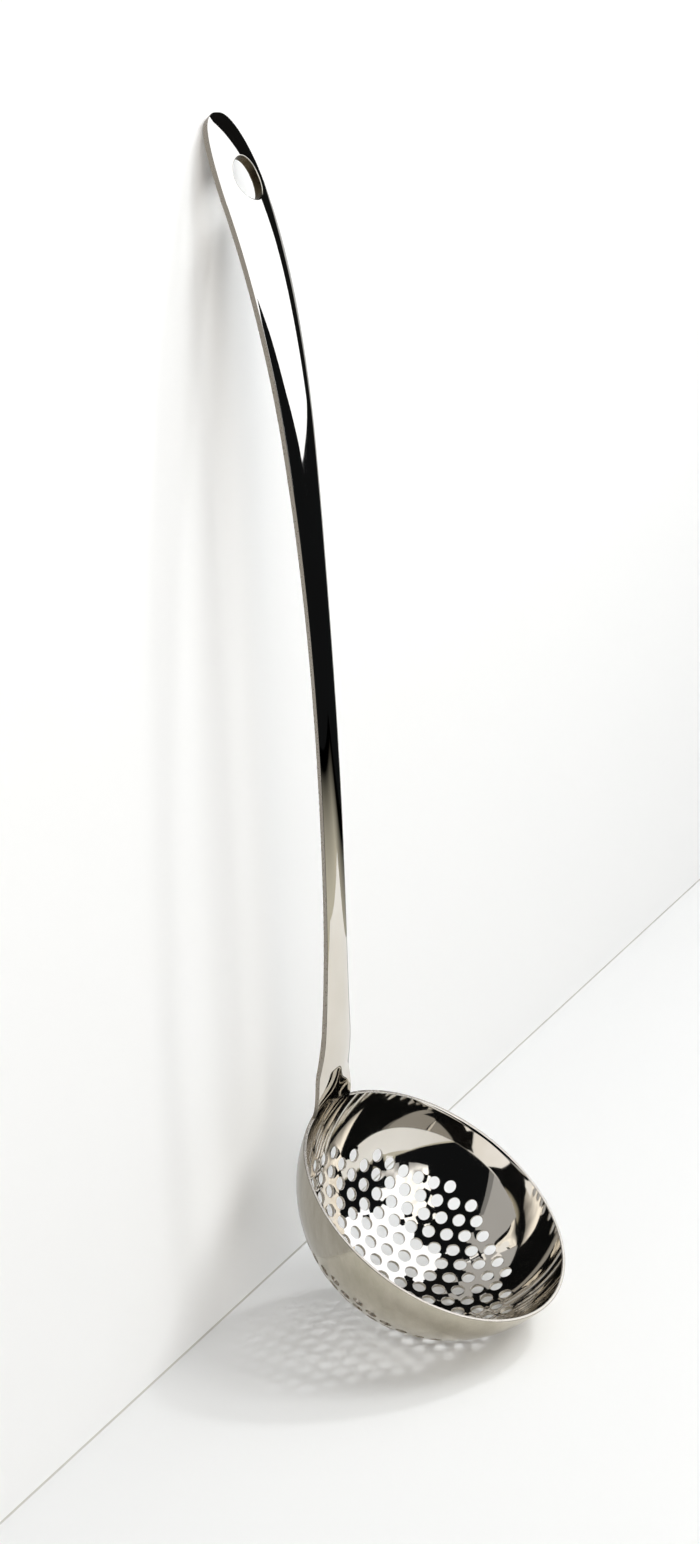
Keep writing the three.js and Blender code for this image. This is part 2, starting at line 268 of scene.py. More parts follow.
# Stations along the handle, and the first and last that the hole's rings break up
def handle_stations(start):
    before, after = HANG_AT - HOLE_FIELD, HANG_AT + HOLE_FIELD
    low = np.concatenate([np.linspace(start, FOOT_TO, FOOT_ROWS)[:-1],
                          np.linspace(FOOT_TO, SHAFT_TO, SHAFT_ROWS)[:-1],
                          np.linspace(SHAFT_TO, before, GRIP_ROWS)])
    beside_hole = np.linspace(before, after, HOLE_ROWS)[1:-1]
    tip = after + (LENGTH - after) * np.sin(np.linspace(0, TIP_REACH, TIP_ROWS))
    first = len(low) - 1
    return np.concatenate([low, beside_hole, tip]), first, first + HOLE_ROWS - 1


# A stretch of the handle, with the hang hole when the stations on both sides of it are named
def handle_skin(stations, first=-1, last=-1):
    flat, at, faces = [], {}, []

    def vertex(s, y):
        flat.append((s, y))
        return len(flat) - 1

    inner_half = half_width(stations) - edge_reach(stations)
    n = len(stations)
    for i in range(n):
        for j in range(COLUMNS + 1):
            if not (first < i < last and 0 < j < COLUMNS):
                at[i, j] = vertex(stations[i], COLUMN_SHARES[j] * inner_half[i])
    for i in range(n - 1):
        if not first <= i < last:
            here, after = ([at[row, j] for j in range(COLUMNS + 1)] for row in (i, i + 1))
            faces += band(here, after, False)

    # Rings from the square of stations inwards to the hang hole
    ring = []
    if last > first:
        square = [(first, j) for j in range(COLUMNS + 1)]
        square += [(i, COLUMNS) for i in range(first + 1, last + 1)]
        square += [(last, j) for j in range(COLUMNS - 1, -1, -1)]
        square += [(i, 0) for i in range(last - 1, first, -1)]
        ring = [at[key] for key in square]
        far = np.array([flat[i] for i in ring])
        angle = np.arctan2(far[:, 1], far[:, 0] - HANG_AT)
        radial = np.stack([np.cos(angle), np.sin(angle)], -1)
        near = np.array([HANG_AT, 0]) + (HANG_RADIUS + HOLE_CHAMFER) * radial
        for t in RING_SHARES:
            inside = [vertex(*p) for p in far * (1 - t) + near * t]
            faces += band(ring, inside)
            ring = inside

    skin = Skin()
    s, y = np.array(flat).T
    for depth, side in ((np.zeros_like(s), 1), (thickness(s), -1)):
        p, up, _ = on_handle(s, y, depth)
        skin.row(p, side * up)
    behind = len(flat)
    skin.faces = faces + [[i + behind for i in f] for f in faces]

    # Rows that turn over an edge, from these vertices of the front sheet to those of the back
    def turn_over(ids, out, reach, steps, closed, satin=0.0):
        turns = [math.pi / 2 * k / steps for k in range(1, steps + 1)]
        last_ids = ids
        for a, side in [(a, 1) for a in turns] + [(a, -1) for a in turns[::-1]]:
            drop = reach * (1 - math.cos(a))
            depth = drop if side > 0 else thickness(s[ids]) - drop
            moved = reach * math.sin(a)
            p, up, along = on_handle(s[ids] + out[:, 0] * moved, y[ids] + out[:, 1] * moved, depth)
            outward = along * out[:, :1] + np.cross(up, along) * out[:, 1:]
            blank = float(smooth((a - BLANK_FROM) / BLANK_OVER))
            here = skin.row(p, outward * math.sin(a) + side * up * math.cos(a), blank, satin)
            skin.faces += band(last_ids, here, closed)
            last_ids = here
        skin.faces += band(last_ids, [i + behind for i in ids], closed)

    # The outline goes from the foot up one side, over the tip and down the other
    outline = [(i, COLUMNS) for i in range(n)]
    outline += [(n - 1, j) for j in range(COLUMNS - 1, 0, -1)]
    outline += [(i, 0) for i in range(n - 1, -1, -1)]
    ids = [at[key] for key in outline]
    run = unit(np.gradient(np.stack([s[ids], y[ids]], -1), axis=0))
    reach = edge_reach(s[ids])
    fuller = np.minimum(EDGE_SHARE * THICKNESS, reach + TIP_EXTRA)
    reach = np.where(s[ids] > LENGTH - TIP_SOFT, fuller, reach)
    turn_over(ids, np.stack([-run[:, 1], run[:, 0]], -1), reach, EDGE_STEPS, False)
    # The hang hole's chamfer and bore are satin, and the bore gets painted shade
    if ring:
        turn_over(ring, -radial, np.full(len(ring), HOLE_CHAMFER), CHAMFER_STEPS, True, satin=1.0)
    return skin


# Bowl: the flat sheet with its holes carried round the cap, and a softly rounded rim
AROUND = 360
RIM_STEPS = 4

# The plain border begins at this radius of the flat sheet
BORDER = 0.0444
BORDER_ROWS = 10

# Rounding of the rim, which runs out beside the handle's foot
LIP = 0.00022
LIP_AT_FOOT = 0.00002
LIP_RUN_OUT = math.radians(1.6)

# Each straining hole sits in a six-sided cell with a point in the middle of each side
CELL_POINTS = 12
HOLE_SIDES = 2 * CELL_POINTS
HOLE_EDGE = 0.0001
DIMPLE = math.radians(2.5)

# Points closer than this are one point of two cells, and the triangles are worked out in millimetres
SAME_POINT = 0.00004
CELL_SLACK = 1e-6
MILLIMETRES = 1000
MERGE_BELOW = 1e-6

# Rows of a hole's broken edge, as shares of it: outwards and into the sheet, with turn and blank look
HOLE_EDGE_SHARES = ((0.3, 0.3, math.radians(45), 0.4), (0.0, 1.0, math.radians(90), 0.9))

# The rim's top looks blanked where it faces up, by this much at most
RIM_BLANK_SLOPE, RIM_BLANK_START, RIM_BLANK_MOST = 1.1, 0.2, 0.75

# The polish has worn the inner corner round just under the lip, most on the two flanks
ROLL_OFF = 0.0008
ROLLED = math.radians(26)
FLANK_FROM, FLANK_RISE = math.radians(45), math.radians(15)
FLANK_TO, FLANK_FALL = math.radians(110), math.radians(14)


# Points of the flat sheet on the cap, and the sphere's normals there
def cap(flat, offset):
    flat = np.asarray(flat, float)
    a = np.hypot(flat[:, 0], flat[:, 1]) / INNER
    az = np.arctan2(flat[:, 1], flat[:, 0])
    n = np.stack([np.sin(a) * np.cos(az), np.sin(a) * np.sin(az), -np.cos(a)], -1)
    return n * (INNER + offset) + [0, 0, CENTRE_Z], n


def circle_points(centre, radius, count):
    turns = [2 * math.pi * k / count for k in range(count)]
    return [(centre[0] + radius * math.cos(a), centre[1] + radius * math.sin(a)) for a in turns]


# Centres of the straining holes on the flat sheet, in staggered columns
def strain_centres():
    step = STRAIN_PITCH * math.sqrt(0.75)
    reach = int(FIELD_RADIUS / step) + 1
    centres = []
    for j in range(-reach, reach + 1):
        for i in range(-reach, reach + 1):
            c = (j * step, (i + (0.5 if j % 2 == 0 else 0)) * STRAIN_PITCH)
            if math.hypot(*c) <= FIELD_RADIUS:
                centres.append(c)
    return centres


# The flat sheet: a six-sided cell round each hole, and triangles from the cells to the border
def holed_sheet():
    centres = strain_centres()
    flat, faces, holes, corners, edges = [], [], [], {}, {}

    def vertex(p):
        flat.append(p)
        return len(flat) - 1

    def shared(p):
        k = (round(p[0] / SAME_POINT), round(p[1] / SAME_POINT))
        for q in ((k[0] + a, k[1] + b) for a in (0, -1, 1) for b in (0, -1, 1)):
            if q in corners:
                return corners[q]
        corners[k] = vertex(p)
        return corners[k]

    for c in centres:
        hexagon = circle_points(c, STRAIN_PITCH / math.sqrt(3), CELL_POINTS // 2)
        cell = []
        for p, q in zip(hexagon, hexagon[1:] + hexagon[:1]):
            cell += [shared(p), shared(((p[0] + q[0]) / 2, (p[1] + q[1]) / 2))]
        loop = [vertex(p) for p in circle_points(c, STRAIN_RADIUS + HOLE_EDGE, HOLE_SIDES)]
        holes.append((c, loop))
        for k in range(CELL_POINTS):
            here, after = cell[k], cell[(k + 1) % CELL_POINTS]
            a, b, d = loop[2 * k], loop[2 * k + 1], loop[(2 * k + 2) % HOLE_SIDES]
            faces += [[here, b, a], [here, after, b], [after, d, b]]
            if edges.pop((after, here), None) is None:
                edges[here, after] = True

    # The cells' common outline
    following = dict(edges.keys())
    outline = [next(iter(following))]
    while following[outline[-1]] != outline[0]:
        outline.append(following[outline[-1]])
    circle = [vertex(p) for p in circle_points((0, 0), BORDER, AROUND)]
    ids, n = outline + circle, len(outline)
    lines = [(k, (k + 1) % n) for k in range(n)]
    lines += [(n + k, n + (k + 1) % AROUND) for k in range(AROUND)]
    flat_points = [Vector(flat[i]) * MILLIMETRES for i in ids]
    _, _, triangles, sources, _, _ = delaunay_2d_cdt(flat_points, lines, [], 0, MERGE_BELOW)

    # Triangles inside a cell are left out, measured square to its three pairs of sides
    sides = [(math.cos(a), math.sin(a)) for a in (math.radians(90), math.radians(30), math.radians(-30))]
    for triangle in triangles:
        face = [ids[sources[v][0]] for v in triangle]
        away = np.mean([flat[i] for i in face], 0) - np.array(centres)
        from_cells = np.max(np.abs(away @ np.transpose(sides)), 1)
        if np.min(from_cells) >= STRAIN_PITCH / 2 + CELL_SLACK:
            faces.append(face)
    return flat, faces, holes, circle


def bowl_skin():
    flat, faces, holes, circle = holed_sheet()
    inner, inner_n = cap(flat, 0.0)
    outer, outer_n = cap(flat, SHEET)
    # The punch draws the sheet down a little round each hole
    for centre, loop in holes:
        hole_middle, _ = cap([centre], 0.0)
        for n in (inner_n, outer_n):
            to_centre = square_to(hole_middle - inner[loop], n[loop])
            n[loop] = unit(n[loop] - to_centre * math.tan(DIMPLE))
    skin = Skin()
    skin.row(inner, -inner_n)
    # The outside is satin, and its tone carries painted shade
    skin.row(outer, outer_n, satin=1.0)
    behind = len(flat)
    skin.faces = faces + [[i + behind for i in f] for f in faces]

    # Walls of the straining holes, with a slightly broken edge on both sides
    for centre, loop in holes:
        last_ids = loop
        for side, base, steps in ((-1, 0.0, HOLE_EDGE_SHARES), (1, SHEET, HOLE_EDGE_SHARES[::-1])):
            for out_share, drop_share, a, blank in steps:
                offset = base - side * HOLE_EDGE * drop_share
                p, n = cap(circle_points(centre, STRAIN_RADIUS + HOLE_EDGE * out_share, HOLE_SIDES), offset)
                inward = square_to(cap([centre], offset)[0] - p, n)
                here = skin.row(p, inward * math.sin(a) + side * n * math.cos(a), blank)
                skin.faces += band(last_ids, here)
                last_ids = here
        skin.faces += band(last_ids, [i + behind for i in loop])

    # Plain border, rounded rim and back down the outside
    az = 2 * math.pi * np.arange(AROUND) / AROUND
    beside = np.abs((az + math.pi) % (2 * math.pi) - math.pi)
    half_foot = math.asin(FOOT_WIDTH / 2 / INNER_RIM)
    lip = LIP_AT_FOOT + (LIP - LIP_AT_FOOT) * smooth((beside - half_foot) / LIP_RUN_OUT)
    zero = np.zeros(AROUND)
    last_ids = circle

    # A row at this angle from the pole, its normals partly along the sphere's and partly up
    def add_row(offset, angle, out, up, blank=0.0, satin=0.0):
        nonlocal last_ids
        n = np.stack([np.sin(angle) * np.cos(az), np.sin(angle) * np.sin(az), -np.cos(angle)], -1)
        p = n * (INNER + offset)[:, None] + [0, 0, CENTRE_Z]
        normals = (out + zero)[:, None] * n + (up + zero)[:, None] * [0, 0, 1]
        here = skin.row(p, unit(normals), blank, satin)
        skin.faces += band(last_ids, here)
        last_ids = here

    def rim_angle(offset):
        return np.arccos(CENTRE_Z / (INNER + offset))

    def blank_look(up):
        return max(0.0, min(RIM_BLANK_MOST, RIM_BLANK_SLOPE * up - RIM_BLANK_START))

    start = BORDER / INNER
    top = rim_angle(zero) - lip / INNER
    worn = top - ROLL_OFF / INNER
    rolled = ROLLED * smooth((beside - FLANK_FROM) / FLANK_RISE) * smooth((FLANK_TO - beside) / FLANK_FALL)
    shares = [k / RIM_STEPS for k in range(1, RIM_STEPS + 1)]
    for t in np.linspace(0, 1, BORDER_ROWS + 1)[1:]:
        add_row(zero, start + (worn - start) * t, -1, 0)
    for t in shares:
        add_row(zero, worn + (top - worn) * t, -1, np.tan(rolled * t))
    for t in shares:
        a = t * math.pi / 2
        o = lip * (1 - math.cos(a))
        turn = rolled + (math.pi / 2 - rolled) * t
        add_row(o, rim_angle(o) - lip * (1 - math.sin(a)) / INNER, -np.cos(turn), np.sin(turn), blank_look(t))
    for t in [0, *shares]:
        a = t * math.pi / 2
        o = SHEET - lip * (1 - math.sin(a))
        add_row(o, rim_angle(o) - lip * (1 - math.cos(a)) / OUTER, math.sin(a), math.cos(a),
                blank_look(math.cos(a)), math.sin(a))
    full = zero + SHEET
    bottom = rim_angle(full) - lip / OUTER
    for t in np.linspace(1, 0, BORDER_ROWS + 2)[1:-1]:
        add_row(full, start + (bottom - start) * t, 1, 0, satin=1.0)
    skin.faces += band(last_ids, [i + behind for i in circle])
    return skin


# Short forms for a node tree, where a value is a number, a colour or another node's output
class Tree:
    def __init__(self, owner):
        owner.use_nodes = True
        self.nodes, self.links = owner.node_tree.nodes, owner.node_tree.links

    def feed(self, socket, value):
        if isinstance(value, bpy.types.NodeSocket):
            self.links.new(value, socket)
        else:
            socket.default_value = value

    # A new node, with values for its first inputs in their order
    def add(self, kind, *values, **settings):
        node = self.nodes.new("ShaderNode" + kind)
        for key, setting in settings.items():
            setattr(node, key, setting)
        for socket, value in zip(node.inputs, values):
            self.feed(socket, value)
        return node

    def maths(self, operation, *values):
        return self.add("Math", *values, operation=operation).outputs[0]

    def remap(self, value, start, end, low, high, kind="LINEAR"):
        return self.add("MapRange", value, start, end, low, high, interpolation_type=kind).outputs["Result"]

    def mixed(self, kind, factor, low, high):
        node = self.add("Mix", data_type=kind)
        for key, value in (("Factor", factor), ("A", low), ("B", high)):
            self.feed(node.inputs[key], value)
        return node.outputs["Result"]

    def noise(self, vector, scale, detail, roughness=0.5):
        node = self.add("TexNoise")
        for key, value in (("Vector", vector), ("Scale", scale), ("Detail", detail), ("Roughness", roughness)):
            self.feed(node.inputs[key], value)
        return node.outputs["Fac"]

    def bump(self, height, distance, normal=None):
        node = self.add("Bump", 1.0, distance)
        self.feed(node.inputs["Height"], height)
        if normal:
            self.feed(node.inputs["Normal"], normal)
        return node.outputs["Normal"]

    def place(self):
        return self.add("TexCoord").outputs["Object"]

    # 1 for rays from the camera, from mirrors and through clear faces, 0 for those that light things
    def looked_at(self):
        path = self.add("LightPath").outputs
        seen = self.maths("MAXIMUM", path["Is Camera Ray"], path["Is Glossy Ray"])
        return self.maths("MAXIMUM", seen, path["Is Transmission Ray"])


# Tones of the steel's finishes and of its painted shade, as shares of its colour
DULLED = (0.94, 0.93, 0.91)
# Brushed grain of the satin outside, toned darker and warmer than the polish: partly the finish, partly
# painted shade for the shaded floor that the outside mirrors
BRUSHED_PALE_SHADED = (0.88, 0.86, 0.78)
BRUSHED_DEEP_SHADED = (0.72, 0.70, 0.61)
BLANKED = (0.72, 0.68, 0.62)
# Painted shade where a cut face is also satin: the hang hole's bore and, in part, the rim's outer corner
PAINTED_BORE_SHADE = (0.14, 0.115, 0.075)

# Spread of the noise that patches follow, and roughness of each finish
PATCHES = (0.35, 0.65)
ROUGH_NOISE = 0.7
MIRROR_ROUGH_SHARES = (0.7, 1.5)
SATIN_ROUGH = (0.09, 0.17)
BLANKED_ROUGH = (0.22, 0.4)

# Distances from the middle plane between which the waves of drawing grow calm
CALM_FROM, CALM_TO = 0.024, 0.036


# Polished steel: faint drawing waves, fine rub marks and uneven polish, all in metres
def steel(name, colour, rough, wave, wave_scale, rub=0.0000006, seed=0.0, flanks=1.0):
    mat = bpy.data.materials.new(name)
    tree = Tree(mat)
    place = tree.place()
    moved = tree.add("Mapping", place, (seed, seed * 0.7, -seed)).outputs["Vector"]

    def patches(scale, detail, low, high, roughness=ROUGH_NOISE):
        return tree.remap(tree.noise(moved, scale, detail, roughness), *PATCHES, low, high)

    def stretched(scale, detail, by):
        longer = tree.add("Mapping", moved)
        longer.inputs["Scale"].default_value = by
        return tree.noise(longer.outputs["Vector"], scale, detail, ROUGH_NOISE)

    def toned(shares):
        return (*(c * share for c, share in zip(colour, shares)), 1)

    cut = tree.add("Attribute", attribute_name="cut").outputs["Fac"]
    satin = tree.add("Attribute", attribute_name="satin").outputs["Fac"]
    dulled_part = patches(scale=45, detail=3, low=0, high=1, roughness=0.5)
    polished = tree.mixed("RGBA", dulled_part, (*colour, 1), toned(DULLED))
    # The satin parts take the brushed tones, a grain that also carries painted shade on the outside of the
    # bowl
    grain = tree.remap(stretched(scale=160, detail=6, by=(1.0, 1.0, 0.35)), *PATCHES, 0, 1)
    brushed_and_shaded = tree.mixed("RGBA", grain, toned(BRUSHED_PALE_SHADED), toned(BRUSHED_DEEP_SHADED))
    body = tree.mixed("RGBA", satin, polished, brushed_and_shaded)
    # Cut faces take the blanked tone, or painted shade where they are also satin
    blank = tree.mixed("RGBA", satin, toned(BLANKED), toned(PAINTED_BORE_SHADE))
    bsdf = tree.nodes["Principled BSDF"]
    bsdf.inputs["Metallic"].default_value = 1.0
    tree.feed(bsdf.inputs["Base Color"], tree.mixed("RGBA", cut, body, blank))
    smoothest, dullest = (rough * share for share in MIRROR_ROUGH_SHARES)
    mirror_rough = patches(scale=160, detail=5, low=smoothest, high=dullest, roughness=0.65)
    satin_rough = patches(500, 5, *SATIN_ROUGH)
    blank_rough = patches(700, 4, *BLANKED_ROUGH)
    body_rough = tree.mixed("FLOAT", satin, mirror_rough, satin_rough)
    tree.feed(bsdf.inputs["Roughness"], tree.mixed("FLOAT", cut, body_rough, blank_rough))

    # The waves of drawing are strongest at the front and back of the bowl, and calm on its flanks
    axes = tree.add("SeparateXYZ", place)
    calm = tree.remap(tree.maths("ABSOLUTE", axes.outputs["Y"]), CALM_FROM, CALM_TO, 1.0, flanks)
    drawn = tree.noise(moved, wave_scale, detail=1.0, roughness=0.4)
    waves = tree.bump(tree.maths("MULTIPLY", drawn, calm), wave)
    rubs = tree.bump(stretched(scale=900, detail=4, by=(1.0, 6.0, 0.25)), rub, waves)
    tree.feed(bsdf.inputs["Normal"], rubs)
    return mat


STEEL = (0.70, 0.665, 0.608)
WELD = (0.69, 0.655, 0.600)
bowl_steel = steel("bowl_steel", STEEL, rough=0.035, wave=0.00004, wave_scale=60, rub=0.0000001, flanks=0.25)
handle_steel = steel("handle_steel", STEEL, rough=0.025, wave=0.000012, wave_scale=45, seed=0.31)
seam_steel = steel("seam_steel", WELD, rough=0.06, wave=0.00001, wave_scale=80, seed=0.57)

mesh_object("bowl_shell", bowl_skin(), ["bowl"], bowl_steel)
mesh_object("handle_strip", handle_skin(*handle_stations(SEAM_TO)), ["handle"], handle_steel)
seam_stations = np.linspace(0.0, SEAM_TO, SEAM_ROWS)
mesh_object("neck_seam", handle_skin(seam_stations), ["neck_weld"], seam_steel)


# Stage: pale floor and wall, lamps, and cards that only the steel's reflections see
WHITE = (1, 1, 1)
FLOOR_Z = -0.31642
FAR_FLOOR_Z = FLOOR_Z - 0.0002
TABLE_Z = FLOOR_Z - 0.004
FAR = 6.0

# The upright wall is turned a little, and stands on a thin darker strip: painted shade along the corner with
# the floor
WALL_X = -0.00990
WALL_TURN = math.radians(4.4)
WALL_FOOT = FLOOR_Z + 0.0008
WALL_LEFT, WALL_RIGHT, WALL_TOP = -1.2, 1.1, 0.75

# The part of the floor that the steel mirrors runs from the wall round to the wall
NEAR_LEFT, NEAR_RIGHT = -0.15, 0.34
NEAR_FLOOR = [(0.30, -0.15), (0.30, -0.05), (0.39, 0.0), (0.39, 0.34)]

# Look of a pale sheet, and the share of its colour that light from another sheet meets
PAPER_ROUGHNESS = 0.9
PAPER_SHINE = 0.1
THROWN_BACK = 0.35


def stage_mesh(name, verts, mat, faces=None):
    me = bpy.data.meshes.new(name)
    me.from_pydata(verts, [], faces or [tuple(range(len(verts)))])
    me.materials.append(mat)
    ob = bpy.data.objects.new(name, me)
    bpy.context.scene.collection.objects.link(ob)
    return ob


# A pale sheet, clear from behind, with a little light of its own for the camera and for mirrors
def pale(name, colour, lift, to_white=None):
    mat = bpy.data.materials.new(name)
    tree = Tree(mat)
    bsdf = tree.nodes["Principled BSDF"]
    bsdf.inputs["Roughness"].default_value = PAPER_ROUGHNESS
    bsdf.inputs["Specular IOR Level"].default_value = PAPER_SHINE
    # Little light is thrown back and forth between wall and floor, which keeps their shadows deep
    bounced = tree.add("LightPath").outputs["Is Diffuse Ray"]
    dimmed = tuple(c * THROWN_BACK for c in colour)
    tree.feed(bsdf.inputs["Base Color"], tree.mixed("RGBA", bounced, (*colour, 1), (*dimmed, 1)))
    seen = tree.looked_at()
    glow = tree.add("Emission", (*WHITE, 1), tree.maths("MULTIPLY", seen, lift))
    look = tree.add("AddShader", bsdf.outputs[0], glow.outputs[0])
    if to_white:
        # Far off, where no lamp reaches, the sheet goes over into the white background
        away = tree.add("VectorMath", tree.place(), operation="LENGTH").outputs["Value"]
        share = tree.maths("MULTIPLY", tree.remap(away, *to_white, 0.0, 1.0, "SMOOTHSTEP"), seen)
        look = tree.add("MixShader", share, look.outputs[0], tree.add("Emission", (*WHITE, 1)).outputs[0])
    backfacing = tree.add("NewGeometry").outputs["Backfacing"]
    clear = tree.add("BsdfTransparent").outputs[0]
    look = tree.add("MixShader", backfacing, look.outputs[0], clear)
    tree.feed(tree.nodes["Material Output"].inputs["Surface"], look.outputs[0])
    return mat


# A point on the wall, this far along it and at this height
def on_wall(along, z):
    return (WALL_X - math.sin(WALL_TURN) * along, math.cos(WALL_TURN) * along, z)


def wall_patch(left, right, low, high):
    return [on_wall(left, low), on_wall(right, low), on_wall(right, high), on_wall(left, high)]


def level_patch(xs, ys, z):
    return [(xs[0], ys[0], z), (xs[1], ys[0], z), (xs[1], ys[1], z), (xs[0], ys[1], z)]


floor_mat = pale("floor", colour=(0.82, 0.817, 0.81), lift=0.045, to_white=(0.55, 1.5))
wall_mat = pale("wall", colour=(0.96, 0.957, 0.95), lift=0.07)
# A darker strip along the wall's foot, painted shade in the corner
junction_shade_mat = pale("junction_shade", colour=(0.70, 0.69, 0.645), lift=0.0)
wall = stage_mesh("wall", wall_patch(WALL_LEFT, WALL_RIGHT, WALL_FOOT, WALL_TOP), wall_mat)
junction_shade = stage_mesh("junction_shade", wall_patch(WALL_LEFT, WALL_RIGHT, FLOOR_Z, WALL_FOOT), junction_shade_mat)
near_edge = [(x, y, FLOOR_Z) for x, y in NEAR_FLOOR]
stage_mesh("near_floor", [on_wall(NEAR_LEFT, FLOOR_Z), *near_edge, on_wall(NEAR_RIGHT, FLOOR_Z)], floor_mat)
far_floor = stage_mesh("far_floor", level_patch((-FAR, FAR), (-FAR, FAR), FAR_FLOOR_Z), floor_mat)
for ob in (wall, junction_shade, far_floor):
    ob.visible_glossy = False


def glowing(name, strength, colour=WHITE):
    mat = bpy.data.materials.new(name)
    tree = Tree(mat)
    tree.nodes.clear()
    tree.add("OutputMaterial", tree.add("Emission", (*colour, 1), strength).outputs[0])
    return mat


# Glowing cards that light nothing and are seen in the steel's reflections only: painted reflections of a
# studio's panels and dark room
def hidden_card(name, verts, mat, faces=None):
    ob = stage_mesh(name, verts, mat, faces)
    ob.visible_camera = False
    ob.visible_diffuse = False
    ob.visible_shadow = False
    ob.visible_transmission = False
    return ob


# A flat panel: its outline is measured along level and upward from base
def panel(name, base, level, upward, outline, mat):
    corners = [tuple(b + v * a + u * h for b, v, u in zip(base, level, upward)) for a, h in outline]
    return hidden_card(name, corners, mat)


# Cloudy light that fades towards the floor
CLOUD_SCALE = 1.6
CLOUD_NOISE, CLOUD_SHARES = (0.38, 0.62), (0.78, 1.15)
FADE_HEIGHTS, FADED = (-0.25, 0.75), 0.35


def cloudy(name, strength):
    mat = glowing(name, strength)
    tree = Tree(mat)
    place = tree.place()
    height = tree.add("SeparateXYZ", place).outputs["Z"]
    fade = tree.remap(height, *FADE_HEIGHTS, FADED, strength, "SMOOTHSTEP")
    clouds = tree.remap(tree.noise(place, CLOUD_SCALE, 2.0), *CLOUD_NOISE, *CLOUD_SHARES)
    tree.feed(tree.nodes["Emission"].inputs["Strength"], tree.maths("MULTIPLY", clouds, fade))
    return mat


# Painted reflection of the table beyond the pale sheet, a glow that falls away into the dark on two sides
TABLE_STRENGTH = 0.65
TABLE_FADES = (("X", 0.43, 0.80), ("Y", 0.30, 0.52))


def table_glow(name):
    mat = glowing(name, 0.0, (1.0, 0.97, 0.82))
    tree = Tree(mat)
    axes = tree.add("SeparateXYZ", tree.place()).outputs
    ramps = [tree.remap(axes[axis], near, far, 1.0, 0.0) for axis, near, far in TABLE_FADES]
    level = tree.maths("MULTIPLY", tree.maths("MULTIPLY", *ramps), TABLE_STRENGTH)
    tree.feed(tree.nodes["Emission"].inputs["Strength"], level)
    return mat


# The dark room is a dome from below the floor to straight overhead
ROOM_RADIUS = 7.0
ROOM_LOW, ROOM_STEP, ROOM_ROWS = -30, 10, 13
ROOM_COLUMNS = 24


def dark_room():
    verts, faces = [], []
    for i in range(ROOM_ROWS):
        e = math.radians(ROOM_LOW + ROOM_STEP * i)
        ring = circle_points((0, 0), ROOM_RADIUS * math.cos(e), ROOM_COLUMNS)
        verts += [(x, y, ROOM_RADIUS * math.sin(e)) for x, y in ring]
    for i in range(ROOM_ROWS - 1):
        low = range(ROOM_COLUMNS * i, ROOM_COLUMNS * (i + 1))
        faces += band(low, range(ROOM_COLUMNS * (i + 1), ROOM_COLUMNS * (i + 2)))
    return hidden_card("dark_room", verts, glowing("dark_room", 0.008, (0.9, 1.0, 1.12)), faces)


# Outlines chosen from what the photographed steel mirrors
TABLE_X, TABLE_Y = (-0.02, 0.9), (-0.20, 0.6)
WALL_EDGE = (-0.30, -0.20)
WALL_SEEN = [(-0.20, FLOOR_Z), (0.30, FLOOR_Z), (0.30, 0.0), (0.02, 0.0), (0.02, 0.045), (-0.10, 0.045),
             (-0.10, 0.30), (-0.20, 0.30)]
PANEL_A = [(-1.30, -0.72), (-1.38, -1.15), (-0.80, -1.40), (0.0, -1.60), (0.70, -1.70), (1.0, -1.45),
           (1.05, -1.05), (1.30, -0.80), (1.45, -0.40), (1.35, 0.0), (1.25, 0.55), (0.95, 0.68), (0.55, 0.82),
           (0.33, 1.05), (0.18, 1.40), (-0.30, 1.60), (-0.65, 1.50), (-0.60, 1.0), (-0.55, 0.70),
           (-0.90, 0.30), (-0.88, -0.45)]
PANEL_B = [(-1.10, 0.34), (-0.82, 0.48), (-0.90, 0.74), (-0.93, 1.14), (-0.90, 1.49), (-1.00, 1.79),
           (-1.15, 2.24), (-1.15, 4.6), (0.10, 4.6), (0.75, 3.24), (1.15, 2.09), (1.25, 1.24), (1.25, -0.045),
           (0.35, -0.06), (-0.28, -0.07), (-0.37, -0.03), (-0.49, 0.03), (-0.60, 0.12), (-0.70, 0.18),
           (-0.83, 0.04), (-0.90, -0.11), (-1.10, -0.11)]
FLAG = [(-0.60, -0.70), (-0.155, -0.52), (-0.15, -0.33), (-0.07, -0.20), (-0.01, -0.09), (0.04, 0.0),
        (0.10, 0.09), (0.06, 0.14), (-0.02, 0.15), (-0.03, 0.30), (-0.08, 0.45), (0.06, 0.70), (0.12, 0.90),
        (-0.60, 0.90)]

dark_room()
hidden_card("table", level_patch(TABLE_X, TABLE_Y, TABLE_Z), table_glow("table"))
# Glowing cards where the wall stands, seen only in the steel: painted shade of the wall beside the ladle,
# darker still on a strip past its end
hidden_card("wall_shade_seen", [on_wall(*p) for p in WALL_SEEN], glowing("wall_shade_seen", 0.52))
hidden_card("wall_edge_shade", wall_patch(*WALL_EDGE, FLOOR_Z, 0.0), glowing("wall_edge_shade", 0.27))
panel("panel_a", (2.675, -1.440, 1.400), (0.105, 0.994, 0.0), (-0.264, 0.028, 0.964), PANEL_A,
      cloudy("panel_a", 1.9))
panel("panel_b", (0.712, 0.785, 0.0), (-0.184, 0.983, 0.0), (-0.030, -0.006, 1.0), PANEL_B,
      glowing("panel_b", 1.75, (0.96, 1.0, 1.08)))
panel("flag", (0.221, 0.520, 0.401), (0.8555, -0.5178, 0.0), (-0.1708, -0.2822, 0.9440), FLAG,
      glowing("flag", 0.008))

# The background is white to look at, and lights the scene only faintly
BACKGROUND_LIGHT = 0.04
world = bpy.data.worlds.new("studio")
bpy.context.scene.world = world
sky = Tree(world)
background = sky.nodes["Background"].inputs
background["Color"].default_value = (*WHITE, 1)
sky.feed(background["Strength"], sky.remap(sky.looked_at(), 0.0, 1.0, BACKGROUND_LIGHT, 1.0))

AIM = Vector((0.05, 0.0, -0.20))
WARM, COOL = (1.0, 0.96, 0.91), (0.97, 0.99, 1.0)


